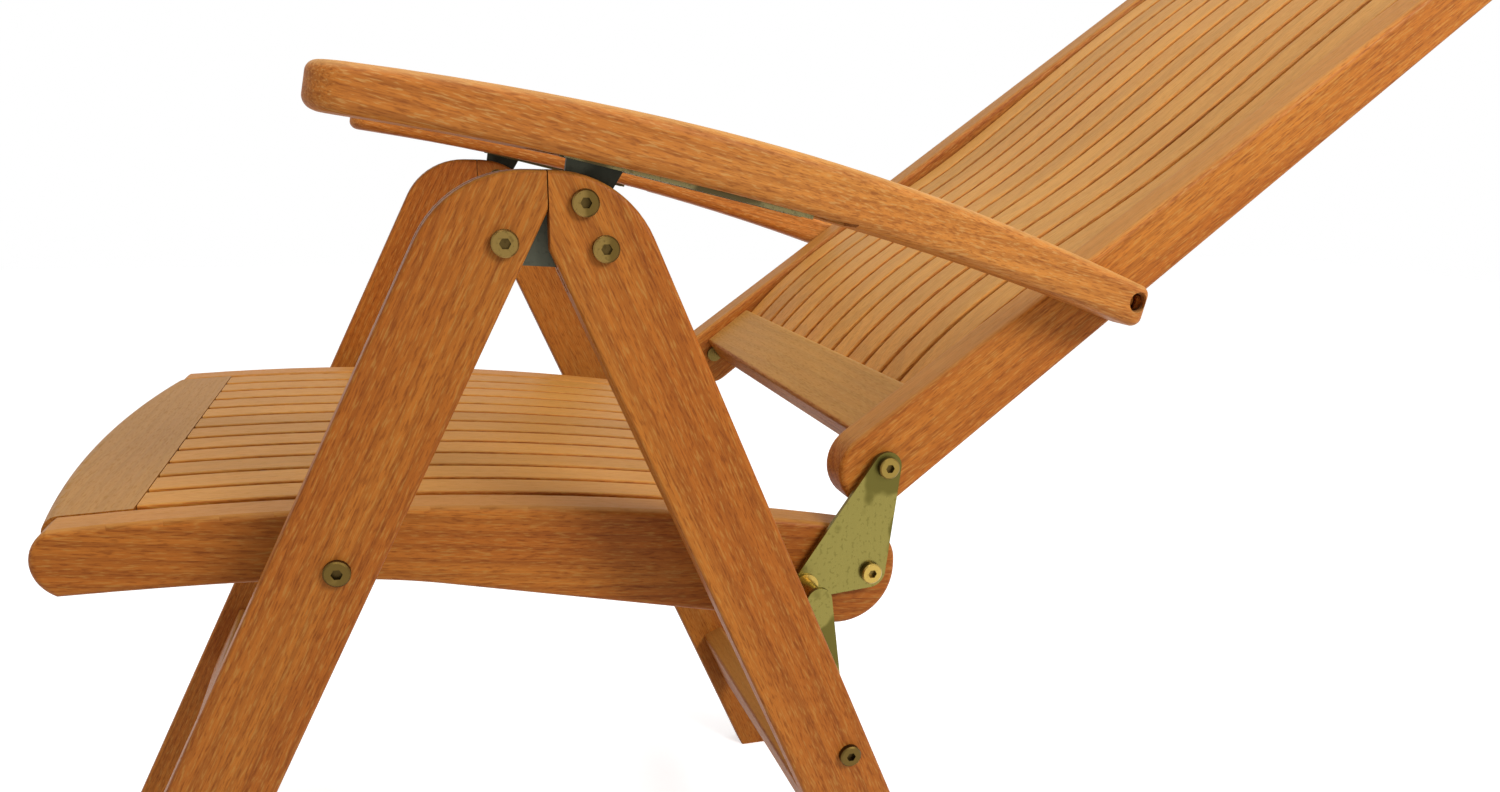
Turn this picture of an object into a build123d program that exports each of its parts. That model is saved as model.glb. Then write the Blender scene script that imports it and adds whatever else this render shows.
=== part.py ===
from build123d import *
from math import asin, atan, cos, degrees, radians, sin, sqrt, tan
import os

# Reclining garden armchair of hardwood, slatted, on two A-shaped pairs of legs that fold flat.
# Side view: y runs from the front of the chair to the rear, z is the height.
# Places in the side view are measured from the slit between the two legs' tops
# (y = 0) and from the ground (z = 0). The sitter's left side is +X.

# Legs
leg_span = 550.0
leg_thickness = 25.0
leg_width = 50.0
leg_top_height = 643.0
front_foot_reach = 349.0
rear_foot_reach = 290.7
front_top_reach = 18.54
rear_top_reach = 11.12
slit_gap = 0.6
front_top_round_share = 0.790190
rear_top_round_share = 0.929708
leg_edge_round = 2.5

# Kerf in the legs' tops, and the steel hinge plate in it
plate_steel = 4.0
kerf_width = 4.6
kerf_reach = 100.0
front_kerf_below_pivot = 20.0
rear_kerf_below_bolt = 14.0
hinge_corner = 11.0
hinge_tab_front = 6.0
hinge_tab_rear = 13.5
hinge_tab_drop = 4.6
hinge_tab_corner = 5.5
upper_bolt_corner = 10.0
track_pin_radius = 4.0
track_pin_length = 13.6

# Pivots, each by its drop below the legs' tops and by how far it lies behind its leg's centre line
leg_pivot_drop = 34.0
leg_pivot_offset = 14.4
upper_bolt_drop = 15.0
lower_bolt_drop = 37.0
seat_pivot_drop = 194.5
seat_pivot_offset = 6.8
link_pivot_drop = 341.5
link_pivot_offset = 11.3
track_pin_offset = 5.86
track_pin_rise = 12.0

# Fasteners
bolt_radius = 3.0
bolt_head_radius = 6.75
bolt_head_height = 4.0
bolt_head_chamfer = 0.8
socket_radius = 2.9
socket_depth = 2.6
nut_height = 3.0
running_gap = 0.05
seat_gap = 0.3

# Stretchers between the legs
stretcher_thickness = 22.0
stretcher_depth = 62.0
stretcher_arch = 14.0
stretcher_round = 3.0
front_stretcher_height = 193.0
rear_stretcher_height = 119.0

# Seat frame and slats
frame_leg_gap = 33.0
rail_thickness = 28.0
seat_front_reach = 142.0
seat_nose_reach = 10.5
seat_rear_reach = 333.4
seat_front_rise = 13.5
seat_mid_reach = 51.9
seat_mid_rise = 11.8
seat_rear_top_drop = 27.0
seat_front_drop = 23.0
seat_mid_drop = 35.0
seat_rear_drop = 94.9
seat_nose_drop = 5.5
seat_top_round = 24.0
seat_bottom_round = 36.0
rail_edge_round = 4.0
board_width = 46.0
board_thickness = 24.0
board_bow = 14.0
board_nose_round = 10.0
seat_slat_thickness = 14.0
seat_slat_count = 12
slat_gap = 5.0
slat_joint_gap = 0.8
slat_edge_round = 1.5
seat_rear_rail_start = 218.0
seat_rear_rail_width = 30.0
seat_rear_rail_height = 20.0
seat_slat_overhang = 2.0
batten_width = 40.0
batten_thickness = 16.0
seat_batten_start = 20.0

# Triangular brass plates and links
brass_thickness = 3.0
washer_thickness = 3.7
washer_radius = 8.0
plate_seat_reach = 312.8
plate_seat_drop = 49.3
plate_back_reach = 8.1
plate_back_rise = 68.8
plate_link_reach = 43.4
plate_link_drop = 5.2
plate_back_radius = 9.5
plate_seat_radius = 10.5
plate_link_radius = 9.0
link_width = 16.0
link_leg_gap = 0.6
sleeve_radius = 5.3
flange_thickness = 1.2

# Back frame and slats
back_tilt = 36.5
back_length = 640.0
stile_front = 23.6
stile_rear = 25.9
stile_top_front = 12.6
stile_top_rear = 14.7
stile_foot_start = 5.0
stile_foot_reach = 30.0
stile_top_round = 12.0
bottom_rail_start = 2.5
bottom_rail_width = 49.0
bottom_rail_front = 14.0
bottom_rail_thickness = 22.0
bottom_rail_round = 3.0
top_rail_width = 62.0
top_rail_thickness = 20.0
top_rail_inset = 2.0
top_rail_drop = 6.0
top_rail_rise = 12.0
back_slat_count = 12
back_slat_thickness = 10.0
back_slat_rise_share = (0.45, 0.80, 0.42, 0.50, 0.40)
back_slat_place_share = (0.0, 0.16, 0.42, 0.72, 1.0)
back_batten_reach = 330.0
back_batten_middle = -8.0
nut_pocket_gap = 0.3

# Armrests, measured along the track from the arm pivot
arm_pivot_reach = 180.6
arm_pivot_behind = 7.3
arm_slope = 12.8
arm_length = 477.0
arm_tail_length = 9.0
arm_thickness_rear = 25.0
arm_top_rear = 9.5
arm_top_mid = 30.4
arm_top_front = 14.0
arm_bottom_front = 7.5
arm_bottom_mid = 2.3
arm_mid_length = 250.0
arm_stile_gap = 2.0
arm_collar_radius = 11.0
arm_collar_thickness = 1.4
arm_front_width = 56.0
arm_leg_overhang = 12.0
arm_rear_width = 30.0
arm_taper_length = 330.0
arm_corner_round = 18.0
arm_tail_round = 8.0
arm_edge_round = 6.0
counterbore_radius = 6.2
counterbore_floor = 14.0
arm_bolt_head_radius = 5.0
arm_bolt_depth = 22.0
arm_insert_bore = 5.3
arm_insert_length = 12.0

# Notched track under each armrest
track_front_length = 359.0
track_rear_length = 228.0
track_width = 20.0
track_lip_drop = 2.3
track_notch_gap = 0.2
track_tab_room = 7.8
track_web = 2.0
track_slot = 5.4
track_passage = 16.0
notch_count = 5
recline_travel = 35.0
arm_follow_share = -0.689
groove_front_run = 18.0
groove_rear_run = 26.0
groove_gap = 0.3
cut_overrun = 40.0

# Places worked out from the sizes above
leg_outer = leg_span / 2
leg_inner = leg_outer - leg_thickness
leg_middle = leg_outer - leg_thickness / 2
frame_half_width = leg_inner - frame_leg_gap
rail_inner = frame_half_width - rail_thickness
arm_inner = frame_half_width + arm_stile_gap
arm_rear_outer = arm_inner + arm_rear_width
arm_front_outer = leg_outer + arm_leg_overhang
arm_front_inner = arm_front_outer - arm_front_width
front_slope = (front_foot_reach - front_top_reach) / leg_top_height
rear_slope = (rear_foot_reach - rear_top_reach) / leg_top_height
front_lean = degrees(atan(front_slope))
rear_lean = degrees(atan(rear_slope))
front_half_width = leg_width / 2 / cos(radians(front_lean))
rear_half_width = leg_width / 2 / cos(radians(rear_lean))


def front_leg_y(height):
    """Centre line of the front leg at a height."""
    return -front_foot_reach + front_slope * height


def rear_leg_y(height):
    """Centre line of the rear leg at a height."""
    return rear_foot_reach - rear_slope * height


def turned(reach, rise, angle):
    """A side-view step, turned by an angle."""
    turn = radians(angle)
    return (reach * cos(turn) - rise * sin(turn), reach * sin(turn) + rise * cos(turn))


def front_leg_place(drop, offset):
    """A place at a drop below the front leg's top and behind its centre line."""
    height = leg_top_height - drop
    return (front_leg_y(height) + offset, height)


def rear_leg_place(drop, offset=0):
    """A place at a drop below the rear leg's top and behind its centre line."""
    height = leg_top_height - drop
    return (rear_leg_y(height) + offset, height)


leg_pivot = front_leg_place(leg_pivot_drop, leg_pivot_offset)
upper_bolt = rear_leg_place(upper_bolt_drop)
lower_bolt = rear_leg_place(lower_bolt_drop)
seat_pivot = front_leg_place(seat_pivot_drop, seat_pivot_offset)
link_pivot = rear_leg_place(link_pivot_drop, link_pivot_offset)
track_pin = (upper_bolt[0] + track_pin_offset, leg_top_height + track_pin_rise)
plate_seat = (seat_pivot[0] + plate_seat_reach, seat_pivot[1] - plate_seat_drop)
plate_back = (plate_seat[0] + plate_back_reach, plate_seat[1] + plate_back_rise)
plate_link = (plate_seat[0] - plate_link_reach, plate_seat[1] - plate_link_drop)
arm_step = turned(arm_pivot_reach, -arm_pivot_behind, back_tilt)
arm_pivot = (plate_back[0] + arm_step[0], plate_back[1] + arm_step[1])

# The origin lies on the ground, under the middle of the chair's box
top_step = turned(back_length - stile_top_round, stile_top_round - stile_top_rear, back_tilt)
box_front = -front_foot_reach - front_half_width
box_rear = plate_back[0] + top_step[0] + stile_top_round
box_middle = (box_front + box_rear) / 2


def side_plane(x, place=(0, 0), angle=0):
    """The side view's plane at x, its origin at a place, turned by an angle."""
    turn = radians(angle)
    return Plane(
        origin=(x, place[0] - box_middle, place[1]),
        x_dir=(0, cos(turn), sin(turn)),
        z_dir=(1, 0, 0),
    )


def write(part, name):
    """Label a finished piece and write it."""
    part.label = name
    export_step(part, f"parts/{name}.step")


def write_pair(part, name):
    """Write a left piece and its mirror image."""
    write(mirror(part, about=Plane.YZ), f"{name}_right")
    write(part, f"{name}_left")


def add_bolt(x, place, length, head_radius=bolt_head_radius):
    """Inside a part: a socket bolt whose head sits at x and points outwards."""
    with BuildSketch(side_plane(x, place)) as head:
        Circle(head_radius)
    extrude(head.sketch, amount=bolt_head_height)
    rim = edges().filter_by(GeomType.CIRCLE).group_by(Axis.X)[-1]
    chamfer(rim, bolt_head_chamfer)
    with BuildSketch(side_plane(x + bolt_head_height, place)) as socket:
        RegularPolygon(socket_radius, 6)
    extrude(socket.sketch, amount=-socket_depth, mode=Mode.SUBTRACT)
    with BuildSketch(side_plane(x, place)) as shank:
        Circle(bolt_radius)
    extrude(shank.sketch, amount=-length)


def make_bolts(places):
    """Bolts with a nut each, on both sides: (head x, nut x, place) for the left ones."""
    bolts = []
    for head_x, nut_x, place in places:
        with BuildPart() as bolt:
            add_bolt(head_x, place, head_x - nut_x + nut_height)
        with BuildPart() as nut:
            with BuildSketch(side_plane(nut_x, place)):
                Circle(bolt_head_radius)
                Circle(bolt_radius + running_gap, mode=Mode.SUBTRACT)
            extrude(amount=-nut_height)
        bolts += [bolt.part, nut.part]
    bolts += [mirror(piece, about=Plane.YZ) for piece in bolts]
    return Compound(children=bolts)


def punch(place, radius=bolt_radius + running_gap, x=0, reach=leg_span):
    """Inside a part: a hole along X at a place."""
    with BuildSketch(side_plane(x, place)) as hole:
        Circle(radius)
    extrude(hole.sketch, amount=reach, mode=Mode.SUBTRACT)


def top_round_radius(edge_y, lean, share):
    """The radius of a leg top's rounding that takes a share of the top's width."""
    top_width = abs(edge_y) - slit_gap / 2
    return share * top_width / tan(radians(90 - lean) / 2)


os.makedirs("parts", exist_ok=True)

# Front legs, bridle-slotted at the top for the hinge plate
front_edge_y = front_leg_y(leg_top_height) - front_half_width
front_slit_height = (front_foot_reach - front_half_width - slit_gap / 2) / front_slope
with BuildPart() as front_leg:
    with BuildSketch(side_plane(leg_inner)):
        with BuildLine():
            Polyline(
                (front_leg_y(0) - front_half_width, 0),
                (front_leg_y(0) + front_half_width, 0),
                (-slit_gap / 2, front_slit_height),
                (-slit_gap / 2, leg_top_height),
                (front_edge_y, leg_top_height),
                close=True,
            )
        make_face()
        top_corner = vertices().group_by(Axis.Y)[-1].sort_by(Axis.X)[0]
        fillet(top_corner, top_round_radius(front_edge_y, front_lean, front_top_round_share))
    extrude(amount=leg_thickness)
    side_edges = edges().filter_by(Axis.X, reverse=True)
    foot_edges = side_edges.group_by(Axis.Z)[0]
    slit_edges = side_edges.group_by(Axis.Y)[-1]
    fillet(side_edges - foot_edges - slit_edges, leg_edge_round)
    with BuildSketch(side_plane(leg_middle - kerf_width / 2, leg_pivot, -front_lean)):
        with Locations((0, kerf_reach / 2 - front_kerf_below_pivot)):
            Rectangle(2 * kerf_reach, kerf_reach)
    extrude(amount=kerf_width, mode=Mode.SUBTRACT)
    punch(leg_pivot)
    punch(seat_pivot)
write_pair(front_leg.part, "front_leg")

# Rear legs, bridle-slotted the same way
rear_edge_y = rear_leg_y(leg_top_height) + rear_half_width
rear_slit_height = (rear_foot_reach - rear_half_width - slit_gap / 2) / rear_slope
with BuildPart() as rear_leg:
    with BuildSketch(side_plane(leg_inner)):
        with BuildLine():
            Polyline(
                (rear_leg_y(0) + rear_half_width, 0),
                (rear_leg_y(0) - rear_half_width, 0),
                (slit_gap / 2, rear_slit_height),
                (slit_gap / 2, leg_top_height),
                (rear_edge_y, leg_top_height),
                close=True,
            )
        make_face()
        top_corner = vertices().group_by(Axis.Y)[-1].sort_by(Axis.X)[-1]
        fillet(top_corner, top_round_radius(rear_edge_y, rear_lean, rear_top_round_share))
    extrude(amount=leg_thickness)
    side_edges = edges().filter_by(Axis.X, reverse=True)
    foot_edges = side_edges.group_by(Axis.Z)[0]
    slit_edges = side_edges.group_by(Axis.Y)[0]
    fillet(side_edges - foot_edges - slit_edges, leg_edge_round)
    with BuildSketch(side_plane(leg_middle - kerf_width / 2, lower_bolt, rear_lean)):
        with Locations((0, kerf_reach / 2 - rear_kerf_below_bolt)):
            Rectangle(2 * kerf_reach, kerf_reach)
    extrude(amount=kerf_width, mode=Mode.SUBTRACT)
    punch(upper_bolt)
    punch(lower_bolt)
    punch(link_pivot)
write_pair(rear_leg.part, "rear_leg")


def hull_of(rounds):
    """A flat outline drawn tightly round circles, each (place, radius)."""
    with BuildSketch() as outline:
        for place, radius in rounds:
            with Locations(place):
                Circle(radius)
        make_hull()
    return outline.sketch


# Steel hinge plates, fixed in the rear legs, with the tab that carries the track pin
with BuildPart() as hinge_plate:
    with BuildSketch(side_plane(leg_middle - plate_steel / 2)):
        upper_corner = (upper_bolt, upper_bolt_corner)
        add(hull_of([(leg_pivot, hinge_corner), (lower_bolt, hinge_corner), upper_corner]))
        tab_front = (track_pin[0] - hinge_tab_front, track_pin[1])
        tab_rear = (track_pin[0] + hinge_tab_rear, track_pin[1] - hinge_tab_drop)
        add(hull_of([upper_corner, (tab_front, hinge_tab_corner), (tab_rear, hinge_tab_corner)]))
    extrude(amount=plate_steel)
    punch(leg_pivot)
    punch(upper_bolt)
    punch(lower_bolt)
    punch(track_pin, track_pin_radius)
write_pair(hinge_plate.part, "hinge_plate")

with BuildPart() as track_pins:
    with BuildSketch(side_plane(leg_middle - track_pin_length / 2, track_pin)):
        Circle(track_pin_radius)
    extrude(amount=track_pin_length)
    mirror(about=Plane.YZ)
write(track_pins.part, "track_pins")

# Bolts through the legs
link_outer = leg_inner - link_leg_gap
link_inner = link_outer - brass_thickness
rear_bolts = [(leg_outer, leg_inner, upper_bolt), (leg_outer, leg_inner, lower_bolt)]
rear_bolts.append((leg_outer, link_inner - seat_gap, link_pivot))
write(make_bolts(rear_bolts), "rear_leg_bolts")
front_bolts = [(leg_outer, leg_inner, leg_pivot), (leg_outer, rail_inner - seat_gap, seat_pivot)]
write(make_bolts(front_bolts), "front_leg_bolts")

with BuildPart() as seat_spacers:
    with BuildSketch(side_plane(frame_half_width, seat_pivot)):
        Circle(washer_radius)
        Circle(bolt_radius + running_gap, mode=Mode.SUBTRACT)
    extrude(amount=leg_inner - frame_half_width - seat_gap)
    mirror(about=Plane.YZ)
write(seat_spacers.part, "seat_spacers")


def make_stretcher(height, leg_y, lean):
    """A board between a pair of legs, its lower edge arched."""
    turn = radians(lean)
    face = Plane(
        origin=(0, leg_y(height) - box_middle, height),
        x_dir=(1, 0, 0),
        z_dir=(0, -cos(turn), sin(turn)),
    )
    with BuildPart() as stretcher:
        with BuildSketch(face):
            with BuildLine():
                Polyline(
                    (-leg_inner, -stretcher_depth / 2),
                    (-leg_inner, stretcher_depth / 2),
                    (leg_inner, stretcher_depth / 2),
                    (leg_inner, -stretcher_depth / 2),
                )
                ThreePointArc(
                    (leg_inner, -stretcher_depth / 2),
                    (0, stretcher_arch - stretcher_depth / 2),
                    (-leg_inner, -stretcher_depth / 2),
                )
            make_face()
        extrude(amount=stretcher_thickness / 2, both=True)
        long_edges = edges().filter_by(lambda edge: edge.length > leg_inner)
        fillet(long_edges, stretcher_round)
    return stretcher.part


write(make_stretcher(front_stretcher_height, front_leg_y, front_lean), "front_stretcher")
write(make_stretcher(rear_stretcher_height, rear_leg_y, -rear_lean), "rear_stretcher")

# Seat side rails
seat_nose = (-seat_front_reach - seat_nose_reach, -seat_nose_drop)
seat_curve = ThreePointArc(
    (-seat_front_reach, seat_front_rise),
    (seat_mid_reach, seat_mid_rise),
    (seat_rear_reach, -seat_rear_top_drop),
)
with BuildPart() as seat_rail:
    with BuildSketch(side_plane(rail_inner, seat_pivot)):
        with BuildLine():
            add(seat_curve)
            Polyline(
                (seat_rear_reach, -seat_rear_top_drop),
                (seat_rear_reach, -seat_rear_drop),
                (seat_mid_reach, -seat_mid_drop),
            )
            Spline(
                (seat_mid_reach, -seat_mid_drop),
                (-seat_front_reach, -seat_front_drop),
                tangents=[(seat_mid_reach - seat_rear_reach, seat_rear_drop - seat_mid_drop), (-1, 0)],
            )
            ThreePointArc(
                (-seat_front_reach, -seat_front_drop),
                seat_nose,
                (-seat_front_reach, seat_front_rise),
            )
        make_face()
        rear_corners = vertices().group_by(Axis.X)[-1].sort_by(Axis.Y)
        fillet(rear_corners[-1], seat_top_round)
        rear_corners = vertices().group_by(Axis.Y)[0]
        fillet(rear_corners, seat_bottom_round)
    extrude(amount=rail_thickness)
    fillet(edges().filter_by(Axis.X, reverse=True), rail_edge_round)
    punch(seat_pivot)
    punch(plate_seat)
write_pair(seat_rail.part, "seat_rail")


def seat_top(reach, depth=0):
    """A point under the seat's top curve at a reach behind the seat pivot."""
    middle = seat_curve.arc_center
    return (reach, middle.Y + sqrt((seat_curve.radius - depth) ** 2 - (reach - middle.X) ** 2))


def make_seat_strip(start, end, top, bottom, right, left):
    """A strip curved like the seat's top: reaches, depths, and its bounds along X."""
    middle = (start + end) / 2
    with BuildPart() as strip:
        with BuildSketch(side_plane(right, seat_pivot)):
            with BuildLine():
                ThreePointArc(seat_top(start, top), seat_top(middle, top), seat_top(end, top))
                Line(seat_top(end, top), seat_top(end, bottom))
                ThreePointArc(seat_top(end, bottom), seat_top(middle, bottom), seat_top(start, bottom))
                Line(seat_top(start, bottom), seat_top(start, top))
            make_face()
        extrude(amount=left - right)
    return strip.part


# Front board between the rails, its nose bowed
board_rear = seat_nose[0] + board_width
board_place = seat_top(board_rear)
board_step = seat_top(board_rear - board_width)[1] - seat_top(board_rear)[1]
board_face = Plane(
    origin=(0, seat_pivot[0] + board_place[0] - box_middle, seat_pivot[1] + board_place[1]),
    x_dir=(1, 0, 0),
    z_dir=(0, board_step, board_width),
)
with BuildPart() as seat_front_board:
    with BuildSketch(board_face):
        with BuildLine():
            Polyline(
                (-rail_inner, -board_width),
                (-rail_inner, 0),
                (rail_inner, 0),
                (rail_inner, -board_width),
            )
            ThreePointArc(
                (rail_inner, -board_width),
                (0, -board_width - board_bow),
                (-rail_inner, -board_width),
            )
        make_face()
    extrude(amount=-board_thickness)
    nose_edges = edges().filter_by(GeomType.CIRCLE)
    fillet(nose_edges, board_nose_round)
write(seat_front_board.part, "seat_front_board")

# Seat slats, and the batten and rear rail under them
rail_end = seat_rear_rail_start + seat_rear_rail_width
rail_bottom = seat_slat_thickness + seat_rear_rail_height
rear_rail = make_seat_strip(
    seat_rear_rail_start, rail_end, seat_slat_thickness, rail_bottom, -rail_inner, rail_inner
)
write(rear_rail, "seat_rear_rail")
batten_end = seat_batten_start + batten_width
batten_bottom = seat_slat_thickness + batten_thickness
seat_batten = make_seat_strip(
    seat_batten_start, batten_end, seat_slat_thickness, batten_bottom, -rail_inner, rail_inner
)
write(seat_batten, "seat_batten")
slat_pitch = (2 * rail_inner - slat_gap) / seat_slat_count
slat_width = slat_pitch - slat_gap
seat_slat_start = board_rear + slat_joint_gap
seat_slat_end = rail_end + seat_slat_overhang
curve_radius = seat_curve.radius
curve_reach = seat_curve.arc_center.X
start_turn = degrees(asin((seat_slat_start - curve_reach) / curve_radius))
end_turn = degrees(asin((seat_slat_end - curve_reach) / curve_radius))
start_place = seat_top(seat_slat_start, seat_slat_thickness / 2)
curve_axis = Axis(
    (0, seat_pivot[0] + curve_reach - box_middle, seat_pivot[1] + seat_curve.arc_center.Y),
    (-1, 0, 0),
)
for index in range(seat_slat_count):
    slat_middle = -rail_inner + slat_gap + index * slat_pitch + slat_width / 2
    slat_face = Plane(
        origin=(slat_middle, seat_pivot[0] + start_place[0] - box_middle, seat_pivot[1] + start_place[1]),
        x_dir=(1, 0, 0),
        z_dir=(0, -cos(radians(start_turn)), sin(radians(start_turn))),
    )
    with BuildPart() as seat_slat:
        with BuildSketch(slat_face):
            RectangleRounded(slat_width, seat_slat_thickness, slat_edge_round)
        revolve(axis=curve_axis, revolution_arc=end_turn - start_turn)
    write(seat_slat.part, f"seat_slat_{index + 1:02}")

# Triangular brass plates, their washers, and the bolts that carry them
plate_inner = frame_half_width + seat_gap + washer_thickness
plate_outer = plate_inner + brass_thickness
with BuildPart() as plate:
    with BuildSketch(side_plane(plate_inner)):
        rounds = [(plate_back, plate_back_radius), (plate_seat, plate_seat_radius)]
        add(hull_of(rounds + [(plate_link, plate_link_radius)]))
    extrude(amount=brass_thickness)
    punch(plate_back)
    punch(plate_seat)
write_pair(plate.part, "plate")
with BuildPart() as washers:
    for place in (plate_back, plate_seat):
        with BuildSketch(side_plane(plate_inner - washer_thickness, place)):
            Circle(washer_radius)
            Circle(bolt_radius + running_gap, mode=Mode.SUBTRACT)
        extrude(amount=washer_thickness)
    mirror(about=Plane.YZ)
write(washers.part, "plate_washers")
plate_bolt_head = plate_outer + seat_gap
seat_bolts = [(plate_bolt_head, rail_inner, plate_seat)]
write(make_bolts(seat_bolts), "plate_seat_bolts")
back_bolts = [(plate_bolt_head, rail_inner - seat_gap, plate_back)]
write(make_bolts(back_bolts), "back_pivot_bolts")

# Links between the rear legs and the plates, and the plates' flanged sleeves that meet them
with BuildPart() as link:
    with BuildSketch(side_plane(link_inner)):
        add(hull_of([(link_pivot, link_width / 2), (plate_link, link_width / 2)]))
    extrude(amount=brass_thickness)
    punch(link_pivot)
write_pair(link.part, "link")
with BuildPart() as sleeves:
    with BuildSketch(side_plane(plate_outer, plate_link)):
        Circle(washer_radius)
    extrude(amount=flange_thickness)
    with BuildSketch(side_plane(plate_outer, plate_link)):
        Circle(sleeve_radius)
    extrude(amount=link_inner - seat_gap - plate_outer)
    mirror(about=Plane.YZ)
write(sleeves.part, "link_sleeves")

# Back stiles, drawn along the back from its pivot
with BuildPart() as stile:
    with BuildSketch(side_plane(rail_inner, plate_back, back_tilt)):
        with BuildLine():
            Polyline(
                (-stile_foot_start, stile_front),
                (back_length, stile_top_front),
                (back_length, -stile_top_rear),
                (-stile_foot_start, -stile_rear),
            )
            ThreePointArc(
                (-stile_foot_start, -stile_rear),
                (-stile_foot_reach, (stile_front - stile_rear) / 2),
                (-stile_foot_start, stile_front),
            )
        make_face()
        fillet(vertices().group_by(Axis.X)[-1], stile_top_round)
    extrude(amount=rail_thickness)
    fillet(edges().filter_by(Axis.X, reverse=True), rail_edge_round)
    punch(plate_back)
    arm_bore_start = frame_half_width - arm_bolt_depth - seat_gap
    punch(arm_pivot, x=arm_bore_start)
write_pair(stile.part, "stile")

with BuildPart() as back_bottom_rail:
    with BuildSketch(side_plane(-rail_inner, plate_back, back_tilt)):
        middle = bottom_rail_front - bottom_rail_thickness / 2
        with Locations((bottom_rail_start + bottom_rail_width / 2, middle)):
            Rectangle(bottom_rail_width, bottom_rail_thickness)
    extrude(amount=2 * rail_inner)
    fillet(edges().filter_by(Axis.X), bottom_rail_round)
    pocket_radius = bolt_head_radius + nut_pocket_gap
    pocket_depth = nut_height + seat_gap + nut_pocket_gap
    punch(plate_back, pocket_radius, rail_inner - pocket_depth, pocket_depth)
    punch(plate_back, pocket_radius, -rail_inner, pocket_depth)
write(back_bottom_rail.part, "back_bottom_rail")

# Top rail between the stiles, its upper edge arched
top_rail_crown = back_length - top_rail_drop
top_rail_start = top_rail_crown - top_rail_width
top_rail_front = stile_top_front - top_rail_inset
crown_step = turned(top_rail_start, top_rail_front, back_tilt)
turn = radians(back_tilt)
rail_face = Plane(
    origin=(0, plate_back[0] + crown_step[0] - box_middle, plate_back[1] + crown_step[1]),
    x_dir=(1, 0, 0),
    z_dir=(0, -sin(turn), cos(turn)),
)
with BuildPart() as back_top_rail:
    with BuildSketch(rail_face):
        with BuildLine():
            Polyline(
                (-rail_inner, top_rail_width - top_rail_rise),
                (-rail_inner, 0),
                (rail_inner, 0),
                (rail_inner, top_rail_width - top_rail_rise),
            )
            ThreePointArc(
                (rail_inner, top_rail_width - top_rail_rise),
                (0, top_rail_width),
                (-rail_inner, top_rail_width - top_rail_rise),
            )
        make_face()
    extrude(amount=-top_rail_thickness)
    crown_edges = edges().filter_by(GeomType.CIRCLE)
    fillet(crown_edges, stretcher_round)
write(back_top_rail.part, "back_top_rail")

# Back slats, bulging forward where the small of the back rests
slat_start = bottom_rail_start + bottom_rail_width
slat_reach = top_rail_start - slat_start
slat_points = []
for place, rise in zip(back_slat_place_share, back_slat_rise_share):
    slat_points.append((slat_start + slat_reach * place, stile_front * rise))
slat_rear_points = [(reach, rise - back_slat_thickness) for reach, rise in slat_points]


def make_back_slat(right, left):
    """A back slat between two bounds along X."""
    with BuildPart() as back_slat:
        with BuildSketch(side_plane(right, plate_back, back_tilt)):
            with BuildLine():
                Spline(slat_points)
                Line(slat_points[-1], slat_rear_points[-1])
                Spline(slat_rear_points[::-1])
                Line(slat_rear_points[0], slat_points[0])
            make_face()
        extrude(amount=left - right)
    return back_slat.part


for index in range(back_slat_count):
    slat_right = -rail_inner + slat_gap + index * slat_pitch
    slat = make_back_slat(slat_right, slat_right + slat_width)
    long_edges = slat.edges().filter_by(lambda edge: edge.length > board_width)
    write(slat.fillet(slat_edge_round, long_edges), f"back_slat_{index + 1:02}")

# Batten behind the back slats, scribed to them
with BuildPart() as back_batten:
    with BuildSketch(side_plane(-rail_inner, plate_back, back_tilt)):
        with Locations((back_batten_reach, back_batten_middle)):
            Rectangle(batten_width, batten_thickness)
    extrude(amount=2 * rail_inner)
    add(make_back_slat(-rail_inner, rail_inner), mode=Mode.SUBTRACT)
write(back_batten.part, "back_batten")

# The track pin's places in the armrest's own axes, most reclined and most upright
arm_bottom_rear = arm_thickness_rear - arm_top_rear


def pin_in_arm(recline):
    """Where the track pin lies along and above the armrest's axis."""
    step = turned(*arm_step, recline)
    arm_angle = recline * (1 + arm_follow_share) - arm_slope
    reach = track_pin[0] - plate_back[0] - step[0]
    rise = track_pin[1] - plate_back[1] - step[1]
    return turned(reach, rise, -arm_angle)


pin_reclined = pin_in_arm(0)
pin_between = pin_in_arm(recline_travel / 2)
pin_upright = pin_in_arm(recline_travel)
track_bottom = arm_bottom_mid - track_lip_drop
track_roof = pin_reclined[1] + track_tab_room
track_top = track_roof + track_web
crest_rise = track_pin_radius + seat_gap


def arm_plane(x):
    """The side view's plane at x with its origin at the arm pivot, along the armrest."""
    return side_plane(x, arm_pivot, -arm_slope)


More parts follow.
